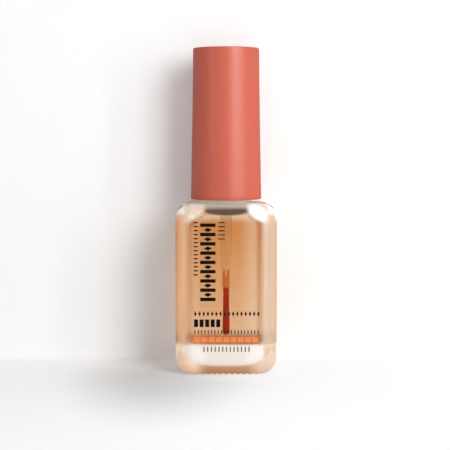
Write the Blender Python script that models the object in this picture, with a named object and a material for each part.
"""Square glass bottle of cuticle oil with a screw cap and a brush.

Metres, +Z up. The origin is on the standing plane, under the middle of the base.
The cap, liner and brush all share the bottle's upright centre line as their axis.
"""

import math

import bmesh
import bpy
from mathutils import Matrix, Vector, geometry

MM = 0.001

# Clearances shared by pieces that seat on each other
FIT_GAP = 0.3 * MM
CUT_OVERRUN = 0.5 * MM

# Glass body
BODY_WIDTH = 28.0 * MM
BODY_HEIGHT = 47.2 * MM
BODY_CORNER_RADIUS = 5.2 * MM
SHOULDER_WIDTH = 5.4 * MM
SHOULDER_DROP = 3.3 * MM
HEEL_WIDTH = 3.5 * MM
HEEL_HEIGHT = 4.5 * MM
HEEL_POWER_SHARE = 1.12
CORNER_BLEND_SHARE = 0.5
FILLET_ROOM_SHARE = 0.9

# Base: a flat ring to stand on, notched along its outer edge, round a shallow hollow
BEARING_WIDTH = 2.4 * MM
PUSH_UP = 0.9 * MM
PUSH_UP_SHARES = ((0.2, 1.0), (0.45, 0.88), (0.75, 0.4), (1.0, 0.0))
NOTCH_PITCH = 1.69 * MM
NOTCH_DEPTH = 0.4 * MM
NOTCH_LENGTH = 1.3 * MM
NOTCH_MOUTH_SHARE = 0.72
NOTCH_FLOOR_SHARE = 0.2

# Cavity
SIDE_WALL = 3.9 * MM
BASE_THICKNESS = 8.0 * MM
SHOULDER_WALL = 2.2 * MM
CAVITY_CORNER_RADIUS = 3.2 * MM
CAVITY_FLOOR_RADIUS = 2.2 * MM
CAVITY_SHOULDER_WIDTH = 4.8 * MM
CAVITY_SHOULDER_DROP = 5.4 * MM
THROAT_LEDGE = 0.2 * MM

# Neck and its thread
NECK_DIAMETER = 13.1 * MM
NECK_HEIGHT = 14.0 * MM
NECK_BORE = 8.6 * MM
NECK_FOOT_FILLET = 0.9 * MM
THROAT_FLARE = 0.8 * MM
RIM_ROUND = 0.5 * MM
THREAD_PITCH = 2.117 * MM
THREAD_HEIGHT = 0.75 * MM
THREAD_START = 1.8 * MM
THREAD_ROOT_OVERLAP = 0.25 * MM
THREAD_BASE_SHARE = 0.44
THREAD_CREST_SHARE = 0.2
THREAD_TUCK_SHARE = 0.2
NECK_THREAD_TURNS = 2.0
CAP_THREAD_TURNS = 1.5
THREAD_FADE_TURNS = 0.12
THREAD_STEPS_A_TURN = 40

# Oil
HEADSPACE = 1.2 * MM
WELL_CLEARANCE = 0.4 * MM

# Sealing washer
WASHER_THICKNESS = 0.8 * MM
WASHER_STEP = 0.15 * MM
WASHER_EDGE = 0.12 * MM

# Inner cap
INNER_CAP_WALL = 0.55 * MM
INNER_CAP_CEILING = 1.5 * MM
INNER_CAP_RECESS = 0.8 * MM
INNER_CAP_CHAMFER = 0.35 * MM
INNER_RIB_DEPTH = 0.35 * MM
INNER_RIB_WIDTH = 0.7 * MM
INNER_RIB_CREST_SHARE = 0.5
INNER_RIB_COUNT = 24
BOSS_WALL = 1.0 * MM
BOSS_ROOF = 1.2 * MM
MOUTH_CHAMFER = 0.2 * MM

# Outer cap
CAP_HEIGHT = 42.3 * MM
CAP_LIFT_OFF_SHOULDER = 0.9 * MM
CAP_SKIRT_WALL = 1.13 * MM
CAP_UPPER_WALL = 1.6 * MM
CAP_TOP_WALL = 1.8 * MM
CAP_TAPER = 1.3 * MM
CAP_TAPER_POWER = 1.4
CAP_EDGE_RADIUS = 0.4 * MM

# Brush stem
STEM_TIP_DIAMETER = 3.04 * MM
STEM_THROAT_DIAMETER = 3.4 * MM
STEM_NECK_DIAMETER = 4.0 * MM
STEM_HEAD_DIAMETER = 4.6 * MM
STEM_HEAD_LENGTH = 6.2 * MM
COLLAR_OVERLAP = 1.1 * MM
COLLAR_HEIGHT = 1.1 * MM
STEM_EDGE = 0.15 * MM
STEM_SOCKET_DIAMETER = 2.1 * MM
STEM_SOCKET_DEPTH = 5.3 * MM

# Tuft and the metal anchor that its fibres are folded over
TUFT_LENGTH = 13.3 * MM
TUFT_FLOOR_CLEARANCE = 2.1 * MM
TUFT_FLARE = 0.27 * MM
TUFT_DOME = 0.45 * MM
TUFT_ROOT_INSET = 0.6 * MM
BRISTLE_COUNT = 320
BRISTLE_EDGE_SHARE = 0.94
BRISTLE_FILL_SHARE = 0.37
ROOT_TOLERANCE_SHARE = 0.000001
ANCHOR_LENGTH = 1.4 * MM
ANCHOR_THICKNESS = 0.3 * MM
ANCHOR_HEIGHT = 1.7 * MM
ANCHOR_EDGE = 0.06 * MM

# How finely round forms are divided
ROUND_STEPS = 64
SKIRT_STEPS = 48
STEM_STEPS = 24
FILLET_STEPS = 4
OCTANT_SHARES = (0.0, 0.2, 0.4, 0.6, 0.733, 0.8, 0.867, 0.933)

# Places worked out from the sizes above
BODY_HALF = BODY_WIDTH / 2
NECK_RADIUS = NECK_DIAMETER / 2
BORE_RADIUS = NECK_BORE / 2
RIM_Z = BODY_HEIGHT + NECK_HEIGHT
CAVITY_HALF = BODY_HALF - SIDE_WALL
CAVITY_TOP_Z = BODY_HEIGHT - SHOULDER_WALL
OIL_LEVEL_Z = CAVITY_TOP_Z - HEADSPACE
TUFT_TIP_Z = BASE_THICKNESS + TUFT_FLOOR_CLEARANCE
STEM_TIP_Z = TUFT_TIP_Z + TUFT_LENGTH
SOCKET_TOP_Z = STEM_TIP_Z + STEM_SOCKET_DEPTH
WASHER_Z = RIM_Z + FIT_GAP
CEILING_Z = WASHER_Z + WASHER_THICKNESS + FIT_GAP
CAP_BASE_Z = BODY_HEIGHT + CAP_LIFT_OFF_SHOULDER
NECK_THREAD_TOP_Z = RIM_Z - THREAD_START
CAP_THREAD_TOP_Z = NECK_THREAD_TOP_Z - THREAD_PITCH / 2
INNER_BORE_RADIUS = NECK_RADIUS + THREAD_HEIGHT + FIT_GAP
INNER_WALL_RADIUS = INNER_BORE_RADIUS + INNER_CAP_WALL
INNER_RIB_RADIUS = INNER_WALL_RADIUS + INNER_RIB_DEPTH
CAP_BORE_RADIUS = INNER_RIB_RADIUS + FIT_GAP
CAP_SKIRT_RADIUS = CAP_BORE_RADIUS + CAP_SKIRT_WALL
HEAD_RADIUS = STEM_HEAD_DIAMETER / 2
HEAD_SOCKET_RADIUS = HEAD_RADIUS + FIT_GAP
HEAD_TOP_Z = CEILING_Z + STEM_HEAD_LENGTH
WELL_RADIUS = STEM_THROAT_DIAMETER / 2 + WELL_CLEARANCE
TUFT_ROOT_RADIUS = STEM_SOCKET_DIAMETER / 2 - FIT_GAP


def clear_scene():
    for item in list(bpy.data.objects):
        bpy.data.objects.remove(item, do_unlink=True)


def plain_material(name, color, roughness, metallic=0.0, transmission=0.0, ior=1.5):
    material = bpy.data.materials.new(name)
    material.use_nodes = True
    shader = material.node_tree.nodes["Principled BSDF"]
    shader.inputs["Base Color"].default_value = (*color, 1.0)
    shader.inputs["Roughness"].default_value = roughness
    shader.inputs["Metallic"].default_value = metallic
    shader.inputs["Transmission Weight"].default_value = transmission
    shader.inputs["IOR"].default_value = ior
    material.diffuse_color = (*color, 1.0)
    return material


def empty_at(name, height, parent=None):
    empty = bpy.data.objects.new(name, None)
    bpy.context.collection.objects.link(empty)
    empty.location = (0, 0, height)
    if parent:
        empty.parent = parent
        empty.location.z -= parent.matrix_world.translation.z
    bpy.context.view_layer.update()
    return empty


def add_piece(name, shape, parent, material=None, smooth_degrees=35):
    """Turns a bmesh made at its place in the world into an object whose origin is its parent's."""
    origin = parent.matrix_world.translation
    bmesh.ops.translate(shape, verts=shape.verts, vec=-origin)
    bmesh.ops.recalc_face_normals(shape, faces=shape.faces)
    mesh = bpy.data.meshes.new(name)
    shape.to_mesh(mesh)
    shape.free()
    mesh.shade_smooth()
    mesh.set_sharp_from_angle(angle=math.radians(smooth_degrees))
    piece = bpy.data.objects.new(name, mesh)
    bpy.context.collection.objects.link(piece)
    piece.parent = parent
    if material:
        mesh.materials.append(material)
    return piece


def add_tool(name, shape, target, operation):
    """Adds a shape to a piece or cuts it out, with a Boolean that stays on the piece."""
    tool = add_piece(name, shape, target.parent)
    tool.hide_render = True
    tool.display_type = "WIRE"
    change = target.modifiers.new(name, "BOOLEAN")
    change.operation = operation
    change.solver = "EXACT"
    change.object = tool
    return tool


def circle(radius, height, steps):
    turns = [2 * math.pi * i / steps for i in range(steps)]
    return [Vector((radius * math.cos(a), radius * math.sin(a), height)) for a in turns]


def bottle_turns():
    """Directions round the bottle, closest together at its four corners."""
    eighth = math.pi / 4
    rising = [share * eighth for share in OCTANT_SHARES]
    falling = [math.pi / 2 - turn for turn in reversed(rising[1:])]
    quarter = [*rising, eighth, *falling]
    return [turn + side * math.pi / 2 for side in range(4) for turn in quarter]


def squarish(half_width, corner_radius, height):
    """One level of the bottle: a square with round corners, or a circle when both sizes match."""
    ring = []
    centre = half_width - corner_radius
    for turn in bottle_turns():
        run, rise = abs(math.cos(turn)), abs(math.sin(turn))
        run, rise = max(run, rise), min(run, rise)
        if half_width * rise / run <= centre:
            reach = half_width / run
        else:
            along = centre * (run + rise)
            reach = along + math.sqrt(along**2 - 2 * centre**2 + corner_radius**2)
        ring.append(Vector((reach * math.cos(turn), reach * math.sin(turn), height)))
    return ring


def skin(rings, loop=False):
    """Joins rings of equally many points in order, and closes the two ends or makes a loop of them."""
    shape = bmesh.new()
    rows = [[shape.verts.new(point) for point in ring] for ring in rings]
    following = rows[1:] + rows[:1] if loop else rows[1:]
    for row, after in zip(rows, following):
        for i in range(len(row)):
            j = (i + 1) % len(row)
            shape.faces.new((row[i], row[j], after[j], after[i]))
    if not loop:
        shape.faces.new(rows[0])
        shape.faces.new(rows[-1])
    return shape


def quarter_turns(steps=FILLET_STEPS):
    return [math.pi / 2 * i / steps for i in range(steps + 1)]


def lathe(profile, steps, loop=False):
    return skin([circle(radius, height, steps) for radius, height in profile], loop)


def corner_at(corner_radius, inset):
    return max(corner_radius - CORNER_BLEND_SHARE * inset, corner_radius * CORNER_BLEND_SHARE)


def thread_rib(surface_radius, height, turns, top_z):
    """A right-hand helical rib, outwards for a positive height, sunk into its wall at both ends."""
    outward = math.copysign(1, height)
    buried = surface_radius - outward * THREAD_ROOT_OVERLAP
    base_half = THREAD_PITCH * THREAD_BASE_SHARE / 2
    crest_half = THREAD_PITCH * THREAD_CREST_SHARE / 2
    steps = round(turns * THREAD_STEPS_A_TURN)
    rings = []
    for i in range(steps + 1):
        done = turns * i / steps
        showing = min(1, done / THREAD_FADE_TURNS, (turns - done) / THREAD_FADE_TURNS)
        sunk_crest = buried + outward * THREAD_ROOT_OVERLAP * THREAD_TUCK_SHARE
        crest = sunk_crest + (surface_radius + height - sunk_crest) * showing
        turn = 2 * math.pi * (done - turns)
        level = top_z - THREAD_PITCH * (turns - done)
        section = (
            (buried, -base_half),
            (crest, -crest_half),
            (crest, crest_half),
            (buried, base_half),
        )
        rings.append(
            [Vector((r * math.cos(turn), r * math.sin(turn), level + z)) for r, z in section]
        )
    return skin(rings)


def heel_rings():
    """From the edge of the standing ring out and up to the straight side."""
    rings = []
    for turn in reversed(quarter_turns()):
        inset = HEEL_WIDTH * (1 - math.cos(turn) ** HEEL_POWER_SHARE)
        height = HEEL_HEIGHT * (1 - math.sin(turn) ** HEEL_POWER_SHARE)
        rings.append(squarish(BODY_HALF - inset, corner_at(BODY_CORNER_RADIUS, inset), height))
    return rings


def shoulder_rings():
    """From the straight side up and in to the flat top of the body, as a quarter of an ellipse."""
    foot = NECK_RADIUS + NECK_FOOT_FILLET
    width = min(SHOULDER_WIDTH, (BODY_HALF - foot) * FILLET_ROOM_SHARE)
    rings = []
    for turn in quarter_turns(FILLET_STEPS + 1):
        inset = width * (1 - math.cos(turn))
        height = BODY_HEIGHT - SHOULDER_DROP * (1 - math.sin(turn))
        rings.append(squarish(BODY_HALF - inset, corner_at(BODY_CORNER_RADIUS, inset), height))
    return rings


def neck_rings():
    """Up the outside of the neck, over the rim and down its bore to the flare into the cavity."""
    profile = []
    for turn in quarter_turns(FILLET_STEPS - 1):
        swing = NECK_FOOT_FILLET * (1 - math.sin(turn))
        lift = NECK_FOOT_FILLET * (1 - math.cos(turn))
        profile.append((NECK_RADIUS + swing, BODY_HEIGHT + lift))
    for turn in quarter_turns(FILLET_STEPS - 1):
        inset = RIM_ROUND * (1 - math.cos(turn))
        profile.append((NECK_RADIUS - inset, RIM_Z - RIM_ROUND * (1 - math.sin(turn))))
    for turn in reversed(quarter_turns(FILLET_STEPS - 2)):
        inset = RIM_ROUND * (1 - math.cos(turn))
        profile.append((BORE_RADIUS + inset, RIM_Z - RIM_ROUND * (1 - math.sin(turn))))
    for turn in quarter_turns(FILLET_STEPS - 2):
        swing = THROAT_FLARE * (1 - math.cos(turn))
        profile.append((BORE_RADIUS + swing, CAVITY_TOP_Z + THROAT_FLARE * (1 - math.sin(turn))))
    return [squarish(radius, radius, height) for radius, height in profile]


def cavity_rings(gap=0.0):
    """Down the inside of the body to its floor, kept in from the wall by a gap.

    Under the shoulder the walls go from nearly round at the throat to square at the side.
    """
    half = CAVITY_HALF - gap
    corner = CAVITY_CORNER_RADIUS - gap
    top = CAVITY_TOP_Z - gap
    floor = BASE_THICKNESS + gap
    throat = BORE_RADIUS + THROAT_FLARE
    width = min(CAVITY_SHOULDER_WIDTH, CAVITY_HALF - throat - THROAT_LEDGE) - gap
    drop = CAVITY_SHOULDER_DROP - gap
    heel = CAVITY_FLOOR_RADIUS - gap
    rings = []
    for turn in reversed(quarter_turns(FILLET_STEPS + 1)):
        roundness = 1 - math.cos(turn)
        reach = half - width * roundness
        height = top - drop * (1 - math.sin(turn))
        rings.append(squarish(reach, corner + (reach - corner) * roundness, height))
    for turn in quarter_turns():
        inset = heel * (1 - math.cos(turn))
        height = floor + heel * (1 - math.sin(turn))
        rings.append(squarish(half - inset, corner_at(corner, inset), height))
    return rings


def base_rings():
    """The hollow under the base, out to the flat ring that the bottle stands on."""
    half = BODY_HALF - HEEL_WIDTH - BEARING_WIDTH
    corner = corner_at(BODY_CORNER_RADIUS, HEEL_WIDTH)
    return [squarish(half * w, corner * w, PUSH_UP * h) for w, h in PUSH_UP_SHARES]


def add_prism(shape, ends):
    """Adds one closed prism between two rings of equally many points."""
    rows = [[shape.verts.new(point) for point in ring] for ring in ends]
    for i in range(len(rows[0])):
        j = (i + 1) % len(rows[0])
        shape.faces.new((rows[0][i], rows[0][j], rows[1][j], rows[1][i]))
    shape.faces.new(rows[0])
    shape.faces.new(rows[1])


def standing_edge():
    """Middles of the notches along the standing ring's outer edge, each with the way it faces."""
    half = BODY_HALF - HEEL_WIDTH
    corner = corner_at(BODY_CORNER_RADIUS, HEEL_WIDTH)
    straight = half - corner
    bend = math.pi / 2 * corner
    quarter = 2 * straight + bend
    notches = round(quarter / NOTCH_PITCH)
    for i in range(notches):
        along = (i + 1 / 2) * quarter / notches
        past = along - straight
        if past < 0:
            place, facing = Vector((half, along, 0)), 0.0
        elif past < bend:
            facing = past / corner
            middle = Vector((straight, straight, 0))
            place = middle + corner * Vector((math.cos(facing), math.sin(facing), 0))
        else:
            place, facing = Vector((straight - (past - bend), half, 0)), math.pi / 2
        for side in range(4):
            turn = Matrix.Rotation(side * math.pi / 2, 3, "Z")
            yield turn @ place, facing + side * math.pi / 2


def notch_cutters():
    """Wedges round the outer edge of the standing ring, square to it and narrower at their inner end."""
    corner = corner_at(BODY_CORNER_RADIUS, HEEL_WIDTH)
    mouth_half = NOTCH_PITCH * NOTCH_MOUTH_SHARE / 2
    floor_half = NOTCH_PITCH * NOTCH_FLOOR_SHARE / 2
    section = (
        (-mouth_half, -CUT_OVERRUN),
        (-mouth_half, 0),
        (-floor_half, NOTCH_DEPTH),
        (floor_half, NOTCH_DEPTH),
        (mouth_half, 0),
        (mouth_half, -CUT_OVERRUN),
    )
    cutters = bmesh.new()
    for place, facing in standing_edge():
        outward = Vector((math.cos(facing), math.sin(facing), 0))
        sideways = Vector((-math.sin(facing), math.cos(facing), 0))
        ends = []
        for reach, width in ((-NOTCH_LENGTH, 1 - NOTCH_LENGTH / corner), (HEEL_WIDTH, 1)):
            start = place + outward * reach
            ends.append([start + sideways * s * width + Vector((0, 0, z)) for s, z in section])
        add_prism(cutters, ends)
    return cutters


def make_glass_bottle(parent):
    glass = plain_material("clear_glass", (0.96, 0.97, 0.95), 0.03, transmission=1.0, ior=1.52)
    rings = base_rings() + heel_rings() + shoulder_rings() + neck_rings() + cavity_rings()
    bottle = add_piece("glass_bottle", skin(rings), parent, glass)
    rib = thread_rib(NECK_RADIUS, THREAD_HEIGHT, NECK_THREAD_TURNS, NECK_THREAD_TOP_Z)
    add_tool("neck_thread", rib, bottle, "UNION")
    add_tool("base_notches", notch_cutters(), bottle, "DIFFERENCE")
    return bottle


def make_cuticle_oil(parent):
    """The filling, with a straight well for the brush to be drawn out of."""
    oil = plain_material("amber_oil", (0.85, 0.45, 0.18), 0.02, transmission=1.0, ior=1.47)
    rings = []
    above = None
    for ring in cavity_rings(FIT_GAP):
        if ring[0].z <= OIL_LEVEL_Z:
            if not rings:
                share = (OIL_LEVEL_Z - ring[0].z) / (above[0].z - ring[0].z)
                rings.append([low.lerp(high, share) for low, high in zip(ring, above)])
            rings.append(ring)
        above = ring
    well_floor = TUFT_TIP_Z - WELL_CLEARANCE
    well = [
        squarish(WELL_RADIUS, WELL_RADIUS, well_floor),
        squarish(WELL_RADIUS, WELL_RADIUS, OIL_LEVEL_Z),
    ]
    return add_piece("cuticle_oil", skin(well + rings), parent, oil)


def make_seal_washer(parent):
    """A flat ring between the glass rim and the ceiling of the inner cap."""
    foam = plain_material("liner_foam", (0.86, 0.86, 0.84), 0.7)
    low, high = WASHER_Z, WASHER_Z + WASHER_THICKNESS
    inner = BORE_RADIUS + WASHER_STEP
    outer = NECK_RADIUS + WASHER_STEP
    edge = WASHER_EDGE
    profile = [
        (inner, low),
        (outer - edge, low),
        (outer, low + edge),
        (outer, high - edge),
        (outer - edge, high),
        (inner, high),
    ]
    return add_piece("seal_washer", lathe(profile, SKIRT_STEPS, loop=True), parent, foam)


def inner_cap_ribs():
    """Grip ribs down the outside of the inner cap, where the outer cap is pressed on."""
    ribs = bmesh.new()
    low = CAP_BASE_Z + INNER_CAP_RECESS + INNER_CAP_CHAMFER
    high = CEILING_Z + INNER_CAP_CEILING - 2 * INNER_CAP_CHAMFER
    buried = INNER_WALL_RADIUS - INNER_CAP_WALL / 2
    root_half = INNER_RIB_WIDTH / 2
    crest_half = root_half * INNER_RIB_CREST_SHARE
    section = (
        (buried, -root_half),
        (INNER_RIB_RADIUS, -crest_half),
        (INNER_RIB_RADIUS, crest_half),
        (buried, root_half),
    )
    for i in range(INNER_RIB_COUNT):
        turn = Matrix.Rotation(2 * math.pi * (i + 1 / 2) / INNER_RIB_COUNT, 3, "Z")
        add_prism(ribs, [[turn @ Vector((r, s, z)) for r, s in section] for z in (low, high)])
    return ribs


def make_inner_cap(parent):
    """The threaded cap, with a boss above its ceiling that holds the head of the stem."""
    plastic = plain_material("natural_plastic", (0.88, 0.87, 0.84), 0.4)
    top = CEILING_Z + INNER_CAP_CEILING
    bottom = CAP_BASE_Z + INNER_CAP_RECESS
    socket_top = HEAD_TOP_Z + FIT_GAP
    boss_top = socket_top + BOSS_ROOF
    boss_radius = HEAD_SOCKET_RADIUS + BOSS_WALL
    chamfer = INNER_CAP_CHAMFER
    profile = [
        (boss_radius - chamfer, boss_top),
        (boss_radius, boss_top - chamfer),
        (boss_radius, top),
        (INNER_WALL_RADIUS - chamfer, top),
        (INNER_WALL_RADIUS, top - chamfer),
        (INNER_WALL_RADIUS, bottom),
        (INNER_BORE_RADIUS + MOUTH_CHAMFER, bottom),
        (INNER_BORE_RADIUS, bottom + MOUTH_CHAMFER),
        (INNER_BORE_RADIUS, CEILING_Z),
        (HEAD_SOCKET_RADIUS + MOUTH_CHAMFER, CEILING_Z),
        (HEAD_SOCKET_RADIUS, CEILING_Z + MOUTH_CHAMFER),
        (HEAD_SOCKET_RADIUS, socket_top),
    ]
    inner_cap = add_piece("inner_cap", lathe(profile, SKIRT_STEPS), parent, plastic)
    rib = thread_rib(INNER_BORE_RADIUS, -THREAD_HEIGHT, CAP_THREAD_TURNS, CAP_THREAD_TOP_Z)
    add_tool("cap_thread", rib, inner_cap, "UNION")
    add_tool("cap_grip_ribs", inner_cap_ribs(), inner_cap, "UNION")
    return inner_cap


def cap_outside(height):
    """The cap's outer radius at a height: almost straight at its top and wider at its skirt."""
    down = (CAP_BASE_Z + CAP_HEIGHT - height) / CAP_HEIGHT
    return CAP_SKIRT_RADIUS - CAP_TAPER / 2 * (1 - down**CAP_TAPER_POWER)


def make_outer_cap(parent):
    """The tall coloured shell, with a ledge inside that sits on the inner cap."""
    coral = plain_material("coral_plastic", (0.70, 0.16, 0.11), 0.38)
    top = CAP_BASE_Z + CAP_HEIGHT
    ledge = CEILING_Z + INNER_CAP_CEILING + FIT_GAP
    hollow_top = top - CAP_TOP_WALL
    edge = CAP_EDGE_RADIUS
    profile = []
    for turn in reversed(quarter_turns(FILLET_STEPS - 1)):
        height = top - edge * (1 - math.sin(turn))
        profile.append((cap_outside(top - edge) - edge * (1 - math.cos(turn)), height))
    levels = 2 * FILLET_STEPS
    for i in range(1, levels):
        height = top - edge - (CAP_HEIGHT - 2 * edge) * i / levels
        profile.append((cap_outside(height), height))
    profile += [
        (CAP_SKIRT_RADIUS, CAP_BASE_Z + MOUTH_CHAMFER),
        (CAP_SKIRT_RADIUS - MOUTH_CHAMFER, CAP_BASE_Z),
        (CAP_BORE_RADIUS + MOUTH_CHAMFER, CAP_BASE_Z),
        (CAP_BORE_RADIUS, CAP_BASE_Z + MOUTH_CHAMFER),
        (CAP_BORE_RADIUS, ledge),
        (cap_outside(ledge) - CAP_UPPER_WALL, ledge),
        (cap_outside(hollow_top) - CAP_UPPER_WALL, hollow_top),
    ]
    return add_piece("outer_cap", lathe(profile, ROUND_STEPS), parent, coral)


def make_brush_stem(parent):
    """A moulded rod with a head in the cap's boss, a collar under its ceiling and a socket in its tip."""
    plastic = plain_material("stem_plastic", (0.93, 0.91, 0.86), 0.35)
    collar_top = CEILING_Z - FIT_GAP
    collar_radius = HEAD_RADIUS + COLLAR_OVERLAP
    tip_radius = STEM_TIP_DIAMETER / 2
    socket_radius = STEM_SOCKET_DIAMETER / 2
    edge = STEM_EDGE
    profile = [
        (HEAD_RADIUS - edge, HEAD_TOP_Z),
        (HEAD_RADIUS, HEAD_TOP_Z - edge),
        (HEAD_RADIUS, collar_top),
        (collar_radius - edge, collar_top),
        (collar_radius, collar_top - edge),
        (collar_radius, collar_top - COLLAR_HEIGHT + edge),
        (collar_radius - edge, collar_top - COLLAR_HEIGHT),
        (STEM_NECK_DIAMETER / 2, collar_top - COLLAR_HEIGHT),
        (STEM_THROAT_DIAMETER / 2, CAVITY_TOP_Z + THROAT_FLARE),
        (tip_radius, SOCKET_TOP_Z),
        (tip_radius, STEM_TIP_Z + edge),
        (tip_radius - edge, STEM_TIP_Z),
        (socket_radius, STEM_TIP_Z),
        (socket_radius, SOCKET_TOP_Z),
    ]
    return add_piece("brush_stem", lathe(profile, STEM_STEPS), parent, plastic)


def make_tuft_anchor(parent):
    """The small metal plate that the fibres are folded over, deep in the stem's socket."""
    steel = plain_material("anchor_metal", (0.62, 0.60, 0.56), 0.3, metallic=1.0)
    shape = bmesh.new()
    top = SOCKET_TOP_Z - FIT_GAP
    bmesh.ops.create_cube(shape, size=1)
    bmesh.ops.scale(shape, verts=shape.verts, vec=(ANCHOR_LENGTH, ANCHOR_THICKNESS, ANCHOR_HEIGHT))
    bmesh.ops.translate(shape, verts=shape.verts, vec=(0, 0, top - ANCHOR_HEIGHT / 2))
    bmesh.ops.bevel(shape, geom=shape.edges, offset=ANCHOR_EDGE, segments=1, affect="EDGES")
    return add_piece("tuft_anchor", shape, parent, steel)


def bristle_feet():
    """Where each strand leaves the root: a spiral that fills a disc evenly."""
    golden_turn = math.pi * (3 - math.sqrt(5))
    reach = TUFT_ROOT_RADIUS * BRISTLE_EDGE_SHARE
    for i in range(BRISTLE_COUNT):
        distance = reach * math.sqrt((i + 1 / 2) / BRISTLE_COUNT)
        yield Vector((math.cos(i * golden_turn), math.sin(i * golden_turn))) * distance


def make_bristle_tuft(parent):
    """Straight strands of three sides that spread towards the tip, growing from one solid root."""
    nylon = plain_material("nylon_fibre", (0.33, 0.05, 0.02), 0.45)
    root_z = STEM_TIP_Z + TUFT_ROOT_INSET
    spacing = TUFT_ROOT_RADIUS * math.sqrt(math.pi / BRISTLE_COUNT)
    strand_radius = spacing * BRISTLE_FILL_SHARE
    spread = (TUFT_ROOT_RADIUS + TUFT_FLARE) / TUFT_ROOT_RADIUS
    rim = [point.to_2d() for point in circle(TUFT_ROOT_RADIUS, 0, SKIRT_STEPS)]
    corners, outlines = list(rim), [list(range(len(rim)))]
    for foot in bristle_feet():
        outlines.append(list(range(len(corners), len(corners) + 3)))
        for j in range(3):
            turn = math.atan2(foot.y, foot.x) + 2 * math.pi * j / 3
            corners.append(foot + Vector((math.cos(turn), math.sin(turn))) * strand_radius)
    scaled = [corner / TUFT_ROOT_RADIUS for corner in corners]
    division = geometry.delaunay_2d_cdt(scaled, [], outlines, 1, ROOT_TOLERANCE_SHARE)
    points, _, faces, _, _, owners = division
    shape = bmesh.new()
    floor = [shape.verts.new((*(p * TUFT_ROOT_RADIUS), root_z)) for p in points]
    for face, owner in zip(faces, owners):
        feet = [floor[i] for i in face]
        if max(owner) == 0:
            shape.faces.new(feet)
            continue
        middle = sum((v.co for v in feet), Vector()) / len(feet)
        share = middle.xy.length / TUFT_ROOT_RADIUS
        end = TUFT_TIP_Z + TUFT_DOME * share**2
        tips = []
        for foot in feet:
            place = middle.xy * spread + (foot.co.xy - middle.xy)
            tips.append(shape.verts.new((*place, end)))
        for i in range(len(feet)):
            j = (i + 1) % len(feet)
            shape.faces.new((feet[i], feet[j], tips[j], tips[i]))
        shape.faces.new(tips)
    lower = [floor[i] for i in range(len(rim))]
    top_z = SOCKET_TOP_Z - FIT_GAP
    upper = [shape.verts.new((v.co.x, v.co.y, top_z)) for v in lower]
    for i in range(len(rim)):
        j = (i + 1) % len(rim)
        shape.faces.new((lower[i], lower[j], upper[j], upper[i]))
    shape.faces.new(upper)
    tuft = add_piece("bristle_tuft", shape, parent, nylon)
    slot = bmesh.new()
    bmesh.ops.create_cube(slot, size=1)
    width = ANCHOR_THICKNESS + 2 * FIT_GAP
    height = ANCHOR_HEIGHT + FIT_GAP + CUT_OVERRUN
    bmesh.ops.scale(slot, verts=slot.verts, vec=(STEM_TIP_DIAMETER, width, height))
    bmesh.ops.translate(slot, verts=slot.verts, vec=(0, 0, top_z + CUT_OVERRUN - height / 2))
    add_tool("anchor_slot", slot, tuft, "DIFFERENCE")
    return tuft


clear_scene()
standing_plane = empty_at("standing_plane", 0)
liner_seat = empty_at("liner_seat", RIM_Z, standing_plane)
brush_axis = empty_at("brush_axis", CEILING_Z, liner_seat)
screw_axis = empty_at("screw_axis", CEILING_Z, brush_axis)
make_glass_bottle(standing_plane)
make_cuticle_oil(standing_plane)
make_seal_washer(liner_seat)
make_brush_stem(brush_axis)
make_tuft_anchor(brush_axis)
make_bristle_tuft(brush_axis)
make_inner_cap(screw_axis)
make_outer_cap(screw_axis)
